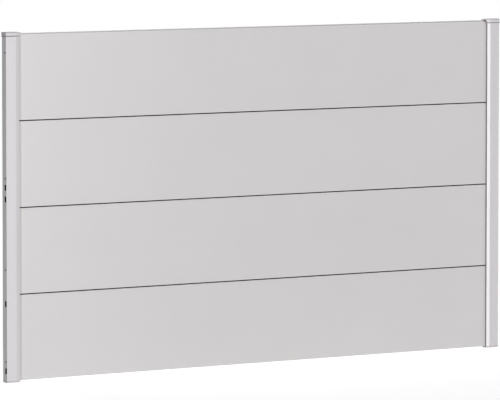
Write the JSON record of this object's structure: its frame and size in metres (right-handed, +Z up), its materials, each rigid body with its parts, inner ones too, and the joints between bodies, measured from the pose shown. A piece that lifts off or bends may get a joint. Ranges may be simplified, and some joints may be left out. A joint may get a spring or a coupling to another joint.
{
  "type": "metal fence panel",
  "caption": "Low metal fence panel: hollow tongue-and-groove boards lie on edge between two capped side posts with fixing slots in their outer faces.",
  "frame": {"origin": "on the ground under the middle of the panel, midway between the front and rear", "axes": "+X along the panel to the right seen from the front, the front faces -Y, +Z up"},
  "size_m": [1.7746, 0.0264, 1.0092],
  "materials": {
    "board_metal": "satin powder coat, silver grey",
    "post_metal": "satin powder coat, silver grey",
    "strip_metal": "satin powder coat, silver grey",
    "cap_plastic": "fine moulded grain, silver grey",
    "seal_rubber": "matt black"
  },
  "bodies": {
    "root": {"left_post": "post_metal", "left_top_cap": "cap_plastic", "left_foot_cap": "cap_plastic", "left_front_seal": "seal_rubber", "left_rear_seal": "seal_rubber", "right_post": "post_metal", "right_top_cap": "cap_plastic", "right_foot_cap": "cap_plastic", "right_front_seal": "seal_rubber", "right_rear_seal": "seal_rubber", "board_1": "board_metal", "board_2": "board_metal", "board_3": "board_metal", "board_4": "board_metal", "top_strip": "strip_metal"}
  },
  "joints": []
}
